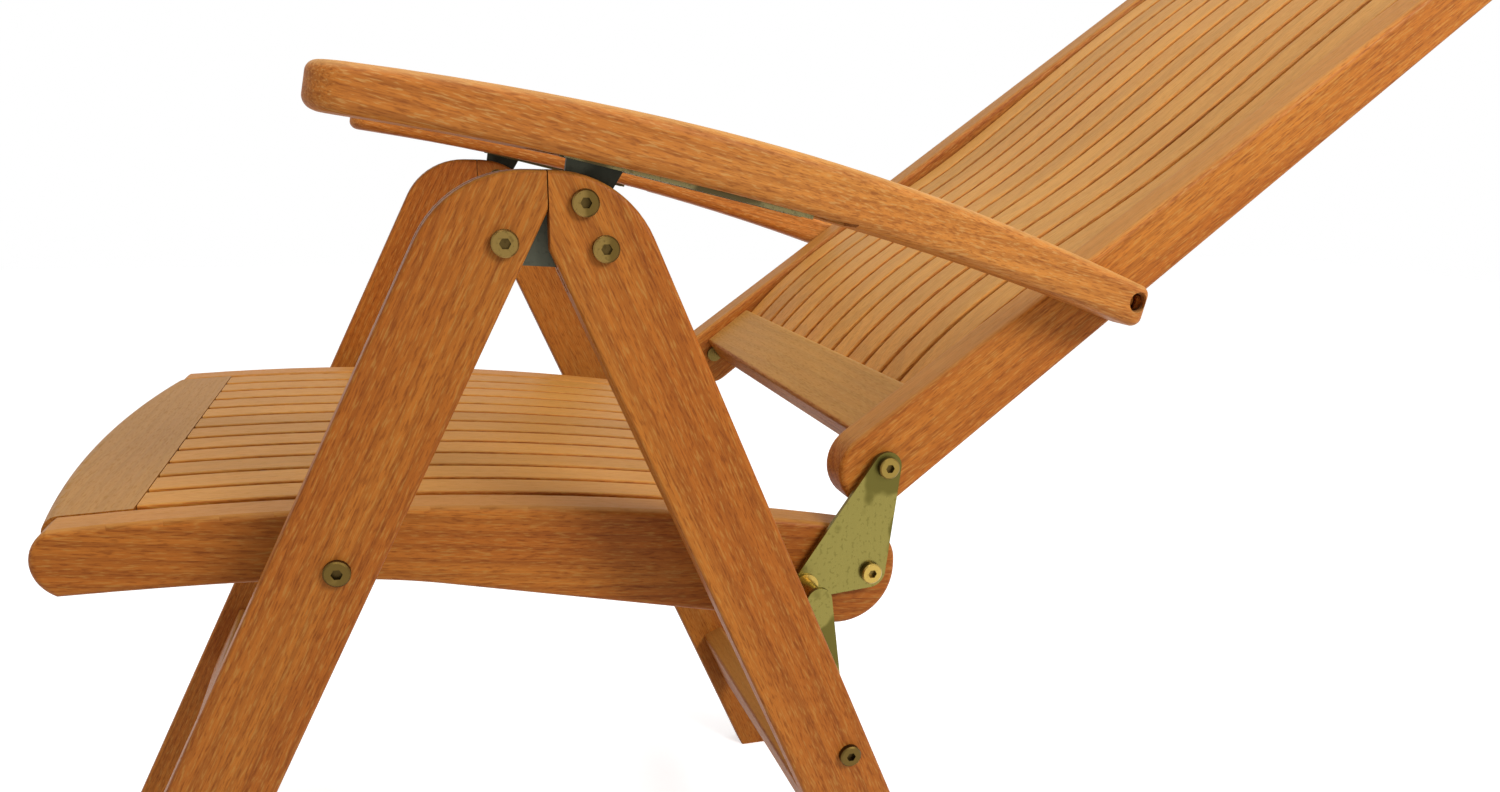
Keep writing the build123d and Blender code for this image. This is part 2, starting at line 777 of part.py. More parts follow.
# Armrests
turn = radians(arm_slope)
arm_plan = Plane(
    origin=(0, arm_pivot[0] - box_middle, arm_pivot[1]),
    x_dir=(1, 0, 0),
    z_dir=(0, sin(turn), cos(turn)),
)
with BuildPart() as armrest:
    with BuildSketch(arm_plane(arm_inner)):
        with BuildLine():
            ThreePointArc(
                (-arm_length, arm_top_front),
                (-arm_mid_length, arm_top_mid),
                (arm_tail_length, arm_top_rear),
            )
            Line((arm_tail_length, arm_top_rear), (arm_tail_length, -arm_bottom_rear))
            ThreePointArc(
                (arm_tail_length, -arm_bottom_rear),
                (-arm_mid_length, arm_bottom_mid),
                (-arm_length, -arm_bottom_front),
            )
            Line((-arm_length, -arm_bottom_front), (-arm_length, arm_top_front))
        make_face()
    extrude(amount=arm_front_outer - arm_inner)
    with BuildSketch(arm_plan):
        with BuildLine():
            Polyline(
                (arm_rear_outer, 0),
                (arm_rear_outer, arm_tail_length),
                (arm_inner, arm_tail_length),
                (arm_inner, 0),
                (arm_front_inner, -arm_length),
                (arm_front_outer, -arm_length),
                (arm_front_outer, -arm_taper_length),
            )
            Spline(
                (arm_front_outer, -arm_taper_length),
                (arm_rear_outer, 0),
                tangents=[(0, 1), (0, 1)],
            )
        make_face()
        fillet(vertices().group_by(Axis.Y)[0], arm_corner_round)
        fillet(vertices().group_by(Axis.Y)[-1], arm_tail_round)
    extrude(amount=cut_overrun, both=True, mode=Mode.INTERSECT)
    broad_faces = faces().sort_by(SortBy.AREA)[-2:]
    fillet(broad_faces.edges(), arm_edge_round)
    groove_half = track_width / 2 + groove_gap
    with BuildSketch(arm_plane(leg_middle - groove_half)):
        with BuildLine():
            Polyline(
                (-track_front_length - groove_front_run, track_top),
                (-track_rear_length + groove_rear_run, track_top),
                (-track_rear_length + groove_rear_run, -cut_overrun),
                (-track_front_length - groove_front_run, -cut_overrun),
                close=True,
            )
        make_face()
    extrude(amount=groove_half * 2, mode=Mode.SUBTRACT)
    punch(arm_pivot)
    punch(arm_pivot, counterbore_radius, arm_inner + counterbore_floor)
write_pair(armrest.part, "armrest")

# Brass tracks: a slot for the hinge plate's tab and notches for the pin
with BuildPart() as track:
    with BuildSketch(arm_plane(leg_middle - track_width / 2)):
        with BuildLine():
            Polyline(
                (-track_front_length, track_bottom),
                (-track_front_length, track_top),
                (-track_rear_length, track_top),
                (-track_rear_length, track_bottom),
                close=True,
            )
        make_face()
    extrude(amount=track_width)
    with BuildSketch(arm_plane(leg_middle - track_slot / 2)):
        with BuildLine():
            Polyline(
                (-track_front_length, -cut_overrun),
                (-track_front_length, track_roof),
                (-track_rear_length, track_roof),
                (-track_rear_length, -cut_overrun),
                close=True,
            )
        make_face()
    extrude(amount=track_slot, mode=Mode.SUBTRACT)
    with BuildSketch(arm_plane(leg_middle - track_passage / 2)):
        with BuildLine():
            Polyline(
                (pin_reclined[0], pin_reclined[1] + crest_rise),
                (-track_front_length, pin_reclined[1] + crest_rise),
                (-track_front_length, -cut_overrun),
                (-track_rear_length, -cut_overrun),
                (-track_rear_length, pin_upright[1] + crest_rise),
                (pin_upright[0], pin_upright[1] + crest_rise),
            )
            ThreePointArc(
                (pin_upright[0], pin_upright[1] + crest_rise),
                (pin_between[0], pin_between[1] + crest_rise),
                (pin_reclined[0], pin_reclined[1] + crest_rise),
            )
        make_face()
        for index in range(notch_count):
            share = index / (notch_count - 1)
            notch_reach = pin_reclined[0] + (pin_upright[0] - pin_reclined[0]) * share
            with Locations((notch_reach, pin_reclined[1])):
                Circle(track_pin_radius + track_notch_gap)
    extrude(amount=track_passage, mode=Mode.SUBTRACT)
write_pair(track.part, "track")

# Arm pivot bolts with a thin collar, and the liner rings in the counterbores
arm_head_start = arm_inner + counterbore_floor + seat_gap
with BuildPart() as arm_bolts:
    add_bolt(
        arm_head_start,
        arm_pivot,
        arm_head_start - frame_half_width + arm_bolt_depth,
        arm_bolt_head_radius,
    )
    with BuildSketch(side_plane(frame_half_width + seat_gap, arm_pivot)):
        Circle(arm_collar_radius)
    extrude(amount=arm_collar_thickness)
    mirror(about=Plane.YZ)
write(arm_bolts.part, "arm_pivot_bolts")
with BuildPart() as arm_inserts:
    with BuildSketch(arm_plane(arm_inner + counterbore_floor)):
        Circle(counterbore_radius)
        Circle(arm_insert_bore, mode=Mode.SUBTRACT)
    extrude(amount=arm_insert_length)
    mirror(about=Plane.YZ)
write(arm_inserts.part, "arm_inserts")
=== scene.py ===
from math import cos, radians, sin

import bmesh
import bpy
import numpy as np
from mathutils import Matrix, Vector


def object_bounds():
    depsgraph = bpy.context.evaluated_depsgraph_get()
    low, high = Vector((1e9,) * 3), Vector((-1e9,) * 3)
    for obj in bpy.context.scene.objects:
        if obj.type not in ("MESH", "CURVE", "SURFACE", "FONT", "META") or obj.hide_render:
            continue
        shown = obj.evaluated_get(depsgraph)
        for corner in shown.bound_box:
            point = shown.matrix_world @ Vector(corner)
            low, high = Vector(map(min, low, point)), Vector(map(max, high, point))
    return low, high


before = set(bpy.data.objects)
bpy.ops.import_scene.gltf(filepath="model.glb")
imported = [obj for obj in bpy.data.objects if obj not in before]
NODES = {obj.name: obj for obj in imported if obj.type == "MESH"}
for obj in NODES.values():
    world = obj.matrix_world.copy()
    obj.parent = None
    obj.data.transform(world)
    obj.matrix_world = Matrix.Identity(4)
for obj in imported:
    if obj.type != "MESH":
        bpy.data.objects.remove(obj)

cad_low, cad_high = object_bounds()

bl_info = {
    "name": "Reclining garden armchair",
    "version": (1, 0, 0),
    "blender": (4, 5, 0),
    "location": "View3D > Sidebar > Armchair",
    "description": "Finishes of a slatted hardwood armchair with brass fittings, and its studio",
    "category": "Object",
}

SLAT_COUNT = 12
WHITE = (1, 1, 1, 1)

# Places of the two colours and of the result among a Mix node's sockets
MIX_FIRST = 6
MIX_SECOND = 7
MIX_RESULT = 2

# The heart of the log, and how its growth rings sway along the grain, in metres
HEART_DEPTH = 0.055
HEART_SWING = 0.05
RING_SWAY = 0.035
RING_RIPPLE = 0.0025

# How far one number moves a piece's grain on each axis
SHIFT_SHARES = (1.37, 0.73, 0.41)

# The random spread of the pieces: the greatest shift, and the ring width as shares of its setting
SHIFT_REACH = 6
RING_WIDTH_SHARES = (0.8, 1.5)

# Stretches of the wood's noises along the grain and on the two axes across it
SWAY_STRETCH = (1.6, 9.0, 9.0)
RIPPLE_STRETCH = (7.0, 60.0, 60.0)
FIBRE_STRETCH = (11.0, 430.0, 430.0)
CLOUD_STRETCH = (2.6, 24.0, 24.0)
THREAD_STRETCH = (26.0, 1500.0, 1500.0)
MOTTLE_STRETCH = (130.0, 1000.0, 1000.0)

# How many finer layers the wood's fibres and clouds have, and how strong the fibres' are
FIBRE_DETAIL = 4.0
FIBRE_LAYER_SHARE = 0.72
CLOUD_DETAIL = 3.0

# Where each mark of the wood starts and is full, and the greatest share of streaks and threads
LATE_RING_RANGE = (0.25, 0.9)
RING_END_RANGE = (1.0, 0.9)
CLOUD_RANGE = (0.36, 0.64)
STREAK_RANGE = (0.40, 0.78)
STREAK_SHARE = 0.42
THREAD_RANGE = (0.50, 0.72)
THREAD_SHARE = 0.34
PORE_RANGE = (0.54, 0.68)
FLECK_RANGE = (0.46, 0.32)

# Roughness of the wood, what its fibres and pores add, and the fibres' height beside the pores' depth
WOOD_ROUGHNESS = 0.42
FIBRE_ROUGHNESS = 0.16
PORE_ROUGHNESS = 0.2
FIBRE_HEIGHT_SHARE = 0.35

# How far up a face looks where the painted top light starts and where it is full, as the upward part of its
# normal
TOP_LIGHT_RANGE = (0.35, 0.95)

# Stretches of the metal's noises on the three axes, and how many finer layers they have
PATCH_STRETCH = (19.0, 19.0, 19.0)
PATCH_DETAIL = 3.0
BRUSH_STRETCH = (900.0, 900.0, 60.0)
SPOT_STRETCH = (420.0, 420.0, 420.0)
SPOT_DETAIL = 1.0

# Where the metal's marks start and are full, and how strong they are
PATCH_RANGE = (0.48, 0.53)
SPOT_RANGE = (0.58, 0.70)
SPOT_SHARE = 0.5
BRUSH_ROUGHNESS = 0.08
BRUSH_HEIGHT_SHARE = 0.6

# How deep below a bolt head's face the painted shade starts, how far it takes to be full, and its greatest
# share
SHADE_START = 0.0003
SHADE_FADE = 0.0014
SHADE_SHARE = 0.75

# Strength of the relief on brass and on steel, and how much rougher than brass the steel is
BRASS_RELIEF = 0.15
STEEL_RELIEF = 0.3
STEEL_HAZE = 0.3

# Number of the first piece in each group of wooden pieces, which sets the pieces' random spread
LEG_NUMBER = 0
SEAT_RAIL_NUMBER = 20
SEAT_BOARD_NUMBER = 30
SEAT_SLAT_NUMBER = 40
STILE_NUMBER = 60
BACK_RAIL_NUMBER = 70
BACK_SLAT_NUMBER = 80
ARM_NUMBER = 100

# Tints of the groups of wooden pieces, cut from different boards, as shares of red, green and blue; they
# also carry painted light: darker on the low legs and the shaded seat boards, paler on the high back and
# armrests
LEG_TINT = (0.88, 0.78, 0.62)
SEAT_RAIL_TINT = (0.98, 0.86, 0.68)
SEAT_BOARD_TINT = (0.72, 0.70, 0.58)
SEAT_SLAT_TINT = (1.00, 0.93, 0.68)
STILE_TINT = (1.06, 0.97, 0.80)
BACK_RAIL_TINT = (1.02, 1.06, 0.95)
BACK_SLAT_TINT = (1.18, 1.20, 1.10)
ARM_TINT = (1.22, 1.24, 1.40)

# The lamps' places from the middle of the chair, and their sizes, in metres
OVERHEAD_PLACE = Vector((0.3, -0.3, 2.4))
OVERHEAD_SIZE = 1.8
SIDE_PLACE = Vector((2.0, 1.15, 1.45))
SIDE_SIZE = 1.0

# The floor's width in metres, its roughness, and the strength of its glow
FLOOR_WIDTH = 12.0
FLOOR_ROUGHNESS = 0.9
FLOOR_GLOW = 0.66

# The nearest distance that the camera sees, in metres
NEAREST_SIGHT = 0.01


# Shader helpers

def link(tree, source, target):
    """Links an output to an input."""
    tree.links.new(source, target)


def node(tree, kind, **values):
    """A shader node with its properties set."""
    made = tree.nodes.new(kind)
    for name, value in values.items():
        setattr(made, name, value)
    return made


def feed(tree, target, value):
    """Links a socket to an input, or sets the input to a plain value."""
    if isinstance(value, bpy.types.NodeSocket):
        link(tree, value, target)
    else:
        target.default_value = value


def sums(tree, operation, first, second=0.0, clamp=False):
    """A Math node's result."""
    made = node(tree, "ShaderNodeMath", operation=operation, use_clamp=clamp)
    feed(tree, made.inputs[0], first)
    feed(tree, made.inputs[1], second)
    return made.outputs[0]


def ranged(tree, value, low, high, to_low=0.0, to_high=1.0):
    """A value stretched smoothly from one range to another."""
    made = node(tree, "ShaderNodeMapRange", interpolation_type="SMOOTHSTEP")
    feed(tree, made.inputs["Value"], value)
    feed(tree, made.inputs["From Min"], low)
    feed(tree, made.inputs["From Max"], high)
    feed(tree, made.inputs["To Min"], to_low)
    feed(tree, made.inputs["To Max"], to_high)
    return made.outputs["Result"]


def mixed(tree, share, first, second):
    """A colour mixed from two."""
    made = node(tree, "ShaderNodeMix", data_type="RGBA")
    feed(tree, made.inputs["Factor"], share)
    feed(tree, made.inputs[MIX_FIRST], first)
    feed(tree, made.inputs[MIX_SECOND], second)
    return made.outputs[MIX_RESULT]


def stretched(tree, vector, scale):
    """A vector multiplied axis by axis."""
    made = node(tree, "ShaderNodeVectorMath", operation="MULTIPLY")
    feed(tree, made.inputs[0], vector)
    made.inputs[1].default_value = scale
    return made.outputs[0]


def noise(tree, vector, stretch, detail=2.0, roughness=0.5):
    """The value of a noise texture at a vector stretched axis by axis."""
    place = stretched(tree, vector, stretch)
    made = node(tree, "ShaderNodeTexNoise")
    link(tree, place, made.inputs["Vector"])
    made.inputs["Scale"].default_value = 1.0
    made.inputs["Detail"].default_value = detail
    made.inputs["Roughness"].default_value = roughness
    return made.outputs[0]


def new_group(name, inputs, outputs):
    """An empty shader node group: inputs are (name, kind, default), outputs (name, kind)."""
    group = bpy.data.node_groups.new(name, "ShaderNodeTree")
    for label, kind, default in inputs:
        socket = group.interface.new_socket(name=label, in_out="INPUT", socket_type=kind)
        if default is not None:
            socket.default_value = default
    for label, kind in outputs:
        group.interface.new_socket(name=label, in_out="OUTPUT", socket_type=kind)
    entry = group.nodes.new("NodeGroupInput")
    leave = group.nodes.new("NodeGroupOutput")
    return group, entry.outputs, leave.inputs


def placed_group(tree, group, **values):
    """A node group placed in a material, with its inputs set or linked."""
    made = node(tree, "ShaderNodeGroup")
    made.node_tree = group
    for label, value in values.items():
        feed(tree, made.inputs[label.replace("_", " ")], value)
    return made.outputs


def opaque(colour):
    """A colour with its alpha."""
    return tuple(colour) + (1.0,)


def timber_group():
    """Oiled hardwood in metres, its grain along X: growth rings, fibre streaks and short open pores."""
    name = "Timber grain"
    if name in bpy.data.node_groups:
        return bpy.data.node_groups[name]
    group, given, out = new_group(
        name,
        [
            ("Vector", "NodeSocketVector", None),
            ("Shift", "NodeSocketFloat", 0.0),
            ("Light", "NodeSocketColor", (0.6, 0.3, 0.1, 1)),
            ("Warm", "NodeSocketColor", (0.5, 0.2, 0.05, 1)),
            ("Dark", "NodeSocketColor", (0.2, 0.07, 0.02, 1)),
            ("Fleck", "NodeSocketColor", (0.6, 0.35, 0.15, 1)),
            ("Ring width", "NodeSocketFloat", 0.006),
            ("Figure", "NodeSocketFloat", 0.5),
            ("Pores", "NodeSocketFloat", 0.5),
        ],
        [("Color", "NodeSocketColor"), ("Roughness", "NodeSocketFloat"), ("Height", "NodeSocketFloat")],
    )
    shift = node(group, "ShaderNodeCombineXYZ")
    for index, share in enumerate(SHIFT_SHARES):
        link(group, sums(group, "MULTIPLY", given["Shift"], share), shift.inputs[index])
    moved = node(group, "ShaderNodeVectorMath", operation="ADD")
    link(group, given["Vector"], moved.inputs[0])
    link(group, shift.outputs[0], moved.inputs[1])
    place = moved.outputs[0]
    sway = noise(group, place, SWAY_STRETCH)
    ripple = noise(group, place, RIPPLE_STRETCH)
    parts = node(group, "ShaderNodeSeparateXYZ")
    link(group, given["Vector"], parts.inputs[0])
    aside = sums(group, "MULTIPLY", sums(group, "SINE", given["Shift"]), HEART_SWING)
    across = sums(group, "ADD", parts.outputs[1], aside)
    deep = sums(group, "ADD", parts.outputs[2], HEART_DEPTH)
    across_squared = sums(group, "MULTIPLY", across, across)
    deep_squared = sums(group, "MULTIPLY", deep, deep)
    radius = sums(group, "SQRT", sums(group, "ADD", across_squared, deep_squared))
    radius = sums(group, "ADD", radius, sums(group, "MULTIPLY", sway, RING_SWAY))
    radius = sums(group, "ADD", radius, sums(group, "MULTIPLY", ripple, RING_RIPPLE))
    turn = sums(group, "FRACT", sums(group, "DIVIDE", radius, given["Ring width"]))
    late = ranged(group, turn, *LATE_RING_RANGE)
    late = sums(group, "MULTIPLY", late, ranged(group, turn, *RING_END_RANGE))
    fibre = noise(group, place, FIBRE_STRETCH, FIBRE_DETAIL, FIBRE_LAYER_SHARE)
    cloud = noise(group, place, CLOUD_STRETCH, CLOUD_DETAIL)
    body = mixed(group, ranged(group, cloud, *CLOUD_RANGE), given["Light"], given["Warm"])
    streak = sums(group, "MULTIPLY", ranged(group, fibre, *STREAK_RANGE), STREAK_SHARE)
    body = mixed(group, streak, body, given["Dark"])
    thread = noise(group, place, THREAD_STRETCH)
    body = mixed(group, ranged(group, thread, *THREAD_RANGE, 0.0, THREAD_SHARE), body, given["Dark"])
    body = mixed(group, sums(group, "MULTIPLY", late, given["Figure"]), body, given["Dark"])
    mottle = noise(group, place, MOTTLE_STRETCH)
    pore = sums(group, "MULTIPLY", ranged(group, mottle, *PORE_RANGE), given["Pores"])
    body = mixed(group, pore, body, given["Dark"])
    fleck = sums(group, "MULTIPLY", ranged(group, mottle, *FLECK_RANGE), given["Pores"])
    body = mixed(group, fleck, body, given["Fleck"])
    link(group, body, out["Color"])
    rough = sums(group, "ADD", WOOD_ROUGHNESS, sums(group, "MULTIPLY", fibre, FIBRE_ROUGHNESS))
    rough = sums(group, "ADD", rough, sums(group, "MULTIPLY", pore, PORE_ROUGHNESS))
    link(group, rough, out["Roughness"])
    height = sums(group, "SUBTRACT", sums(group, "MULTIPLY", fibre, FIBRE_HEIGHT_SHARE), pore)
    link(group, height, out["Height"])
    return group


def top_light_group():
    """Painted top light: a paler, greyer colour on faces that look up, standing in for light from above."""
    name = "Sun bleach"
    if name in bpy.data.node_groups:
        return bpy.data.node_groups[name]
    group, given, out = new_group(
        name,
        [
            ("Color", "NodeSocketColor", (0.5, 0.3, 0.1, 1)),
            ("Normal", "NodeSocketVector", None),
            ("Pale", "NodeSocketColor", (0.6, 0.4, 0.2, 1)),
            ("Amount", "NodeSocketFloat", 0.5),
        ],
        [("Color", "NodeSocketColor")],
    )
    parts = node(group, "ShaderNodeSeparateXYZ")
    link(group, given["Normal"], parts.inputs[0])
    upward = ranged(group, parts.outputs[2], *TOP_LIGHT_RANGE)
    share = sums(group, "MULTIPLY", upward, given["Amount"])
    link(group, mixed(group, share, given["Color"], given["Pale"]), out["Color"])
    return group


def handled_metal_group():
    """Handled metal in metres: brush lines, dull patches, and painted shade that starts a little inside the
    Face, a distance from the middle along X."""
    name = "Handled metal"
    if name in bpy.data.node_groups:
        return bpy.data.node_groups[name]
    group, given, out = new_group(
        name,
        [
            ("Vector", "NodeSocketVector", None),
            ("Bright", "NodeSocketColor", (0.7, 0.6, 0.3, 1)),
            ("Dull", "NodeSocketColor", (0.4, 0.35, 0.12, 1)),
            ("Smooth", "NodeSocketFloat", 0.22),
            ("Rough", "NodeSocketFloat", 0.42),
            ("Face", "NodeSocketFloat", 0.0),
            ("Tarnish", "NodeSocketColor", (0.05, 0.04, 0.01, 1)),
        ],
        [("Color", "NodeSocketColor"), ("Roughness", "NodeSocketFloat"), ("Height", "NodeSocketFloat")],
    )
    place = given["Vector"]
    parts = node(group, "ShaderNodeSeparateXYZ")
    link(group, place, parts.inputs[0])
    depth = sums(group, "SUBTRACT", given["Face"], sums(group, "ABSOLUTE", parts.outputs[0]))
    # Painted shade: darker below the outermost face of the bolt heads, in their sockets and down their
    # sides
    shade_share = ranged(group, depth, SHADE_START, SHADE_START + SHADE_FADE, 0.0, SHADE_SHARE)
    patch = noise(group, place, PATCH_STRETCH, PATCH_DETAIL)
    brush = noise(group, place, BRUSH_STRETCH)
    spot = ranged(group, noise(group, place, SPOT_STRETCH, SPOT_DETAIL), *SPOT_RANGE)
    dull = ranged(group, patch, *PATCH_RANGE)
    shade = mixed(group, dull, given["Bright"], given["Dull"])
    shade = mixed(group, sums(group, "MULTIPLY", spot, SPOT_SHARE), shade, given["Dull"])
    link(group, mixed(group, shade_share, shade, given["Tarnish"]), out["Color"])
    span = sums(group, "SUBTRACT", given["Rough"], given["Smooth"])
    rough = sums(group, "ADD", given["Smooth"], sums(group, "MULTIPLY", span, dull))
    rough = sums(group, "ADD", rough, sums(group, "MULTIPLY", brush, BRUSH_ROUGHNESS))
    link(group, rough, out["Roughness"])
    height = sums(group, "ADD", sums(group, "MULTIPLY", brush, BRUSH_HEIGHT_SHARE), spot)
    link(group, height, out["Height"])
    return group


# Finishes

def grain_direction(piece):
    """The long direction of a piece, from its own corners."""
    places = np.array([corner.co for corner in piece.data.vertices])
    places = places - places.mean(axis=0)
    directions = np.linalg.eigh(places.T @ places).eigenvectors
    along = Vector(directions[:, -1])
    return along if along.length else Vector((1, 0, 0))


def start_material(name):
    """A new material with its tree and principled shader."""
    material = bpy.data.materials.new(name)
    material.use_nodes = True
    tree = material.node_tree
    return material, tree, tree.nodes["Principled BSDF"]


def roughen(tree, shader, height, strength, distance):
    """Fine relief on a shader from a height."""
    bump = node(tree, "ShaderNodeBump")
    bump.inputs["Strength"].default_value = strength
    bump.inputs["Distance"].default_value = distance
    link(tree, height, bump.inputs["Height"])
    link(tree, bump.outputs[0], shader.inputs["Normal"])


def dress(piece, material):
    """Gives a piece one material."""
    piece.data.materials.clear()
    piece.data.materials.append(material)


def finish_timber(piece, number, tint):
    """Oiled hardwood on a piece, tinted, its grain along the piece."""
    look = bpy.context.scene.armchair_timber
    material, tree, shader = start_material(f"Timber {piece.name}")
    coordinates = node(tree, "ShaderNodeTexCoord")
    turn = grain_direction(piece).rotation_difference(Vector((1, 0, 0)))
    aligned = node(tree, "ShaderNodeMapping")
    aligned.inputs["Rotation"].default_value = turn.to_euler()
    link(tree, coordinates.outputs["Object"], aligned.inputs["Vector"])
    chance = np.random.default_rng(number + look.seed)
    shift = float(chance.uniform(0, SHIFT_REACH))
    lift = 1 + float(chance.uniform(-look.variety, look.variety))
    ring_width = look.ring_width * float(chance.uniform(*RING_WIDTH_SHARES))

    def toned(colour):
        return opaque(min(1.0, channel * lift * share) for channel, share in zip(colour, tint))

    grain = placed_group(
        tree, timber_group(), Vector=aligned.outputs[0], Shift=shift, Light=toned(look.light),
        Warm=toned(look.warm), Dark=toned(look.dark), Fleck=toned(look.pale),
        Ring_width=ring_width, Figure=look.figure, Pores=look.pores,
    )
    # Painted top light: faces that look up are mixed towards the pale colour
    top_lit = placed_group(
        tree, top_light_group(), Color=grain["Color"], Normal=coordinates.outputs["Normal"],
        Pale=toned(look.pale), Amount=look.top_light,
    )
    link(tree, top_lit["Color"], shader.inputs["Base Color"])
    link(tree, grain["Roughness"], shader.inputs["Roughness"])
    shader.inputs["Specular IOR Level"].default_value = look.gloss
    roughen(tree, shader, grain["Height"], look.relief, look.relief_depth)
    dress(piece, material)


def finish_group(names, first_number, tint):
    """Finishes a group of wooden pieces, numbered on from the first."""
    for number, name in enumerate(names, first_number):
        finish_timber(NODES[name], number, tint)


def metal_material(name, bright, dull, face=0.0, haze=0.0, relief=BRASS_RELIEF):
    """Handled metal, rougher by the haze, with painted shade in its hollows where a face is given."""
    look = bpy.context.scene.armchair_metal
    material, tree, shader = start_material(name)
    coordinates = node(tree, "ShaderNodeTexCoord")
    finish = placed_group(
        tree, handled_metal_group(), Vector=coordinates.outputs["Object"], Bright=opaque(bright),
        Dull=opaque(dull), Smooth=look.smooth + haze, Rough=look.rough + haze, Face=face,
        Tarnish=opaque(look.socket_shade),
    )
    link(tree, finish["Color"], shader.inputs["Base Color"])
    link(tree, finish["Roughness"], shader.inputs["Roughness"])
    shader.inputs["Metallic"].default_value = 1.0
    roughen(tree, shader, finish["Height"], relief, look.scratch_depth)
    return material


def cover(names, material):
    """Gives the CAD pieces of these names one material."""
    for name in names:
        dress(NODES[name], material)


def head_face(name):
    """How far the outermost bolt heads of a node stand from the middle of the chair."""
    return max(abs(corner.co.x) for corner in NODES[name].data.vertices)


def finish_bolts(names, bright, dull):
    """Brass on each node of bolts, with painted shade in the sockets and on the sides of its heads."""
    for name in names:
        cover([name], metal_material(f"Brass {name}", bright, dull, face=head_face(name)))


def both(name):
    """The names of a piece's left and right."""
    return [f"{name}_left", f"{name}_right"]


def counted(name, count):
    """The names of a row of pieces, numbered from 01."""
    return [f"{name}_{number:02}" for number in range(1, count + 1)]


# Settings

def colour_setting(name, description, default):
    """A colour that a user can change."""
    return bpy.props.FloatVectorProperty(
        name=name, description=description, subtype="COLOR", size=3, min=0, max=1, default=default,
    )


def share_setting(name, description, default):
    """A share from 0 to 1 that a user can change."""
    return bpy.props.FloatProperty(
        name=name, description=description, subtype="FACTOR", min=0, max=1, default=default,
    )


class TimberSettings(bpy.types.PropertyGroup):
    light: colour_setting("Light wood", "Colour of the wood between its rings", (0.51, 0.190, 0.030))
    warm: colour_setting("Warm wood", "Colour of the redder clouds in the wood", (0.43, 0.138, 0.019))
    dark: colour_setting("Dark wood", "Colour of late rings, streaks and pores", (0.165, 0.040, 0.006))
    # The pale colour serves both the wood's flecks and the painted top light on faces that look up
    pale: colour_setting("Pale wood", "Colour of faces that look up", (0.49, 0.265, 0.072))
    # How strongly the painted top light shows on faces that look up
    top_light: share_setting("Top light", "How far upward faces turn pale", 0.60)
    ring_width: bpy.props.FloatProperty(
        name="Ring width", description="Distance between growth rings", unit="LENGTH",
        min=0.001, max=0.05, default=0.0055,
    )
    figure: share_setting("Figure", "Strength of the growth rings", 0.30)
    pores: share_setting("Pores", "Strength of the short pores and flecks", 0.50)
    variety: share_setting("Variety", "How much pieces differ in lightness", 0.10)
    gloss: share_setting("Gloss", "Strength of the oil's reflection", 0.15)
    relief: share_setting("Relief", "Strength of the fibre relief", 0.35)
    relief_depth: bpy.props.FloatProperty(
        name="Relief depth", description="Depth of the pores", unit="LENGTH",
        min=0, max=0.002, default=0.0003,
    )
    seed: bpy.props.IntProperty(name="Seed", description="Chooses how the pieces differ", min=0, default=11)


class MetalSettings(bpy.types.PropertyGroup):
    plate_bright: colour_setting(
        "Clean plate", "Colour of the clean brass plates and links", (0.20, 0.166, 0.044),
    )
    plate_dull: colour_setting(
        "Dull plate", "Colour of the dull patches on the brass plates and links", (0.115, 0.096, 0.022),
    )
    bolt_bright: colour_setting(
        "Clean bolt", "Colour of the clean bolts in the legs", (0.25, 0.160, 0.045),
    )
    bolt_dull: colour_setting(
        "Dull bolt", "Colour of the dull bolts in the legs", (0.115, 0.072, 0.018),
    )
    gold_bright: colour_setting(
        "Clean gold", "Colour of the clean plate bolts and sleeves", (0.40, 0.27, 0.065),
    )
    gold_dull: colour_setting(
        "Dull gold", "Colour of the dull plate bolts and sleeves", (0.25, 0.17, 0.04),
    )
    track_bright: colour_setting(
        "Clean track", "Colour of the clean tracks under the armrests", (0.22, 0.185, 0.08),
    )
    track_dull: colour_setting(
        "Dull track", "Colour of the dull tracks under the armrests", (0.10, 0.08, 0.035),
    )
    bronze_bright: colour_setting(
        "Clean bronze", "Colour of the rings and bolts in the armrests' holes", (0.42, 0.22, 0.080),
    )
    bronze_dull: colour_setting(
        "Dull bronze", "Colour of the dull rings and bolts in the armrests' holes", (0.20, 0.09, 0.03),
    )
    # Colour of the painted shade in the bolt heads' sockets and on their sides
    socket_shade: colour_setting(
        "Tarnish", "Colour in the sockets and on the sides of the bolt heads", (0.045, 0.029, 0.010),
    )
    steel_bright: colour_setting(
        "Clean steel", "Colour of the clean hinge steel", (0.078, 0.080, 0.058),
    )
    steel_dull: colour_setting(
        "Dull steel", "Colour of the dull hinge steel", (0.055, 0.056, 0.041),
    )
    smooth: share_setting("Polish", "Roughness of clean metal", 0.24)
    rough: share_setting("Haze", "Roughness of dull metal", 0.38)
    scratch_depth: bpy.props.FloatProperty(
        name="Scratch depth", description="Depth of the brush lines", unit="LENGTH",
        min=0, max=0.001, default=0.0001,
    )


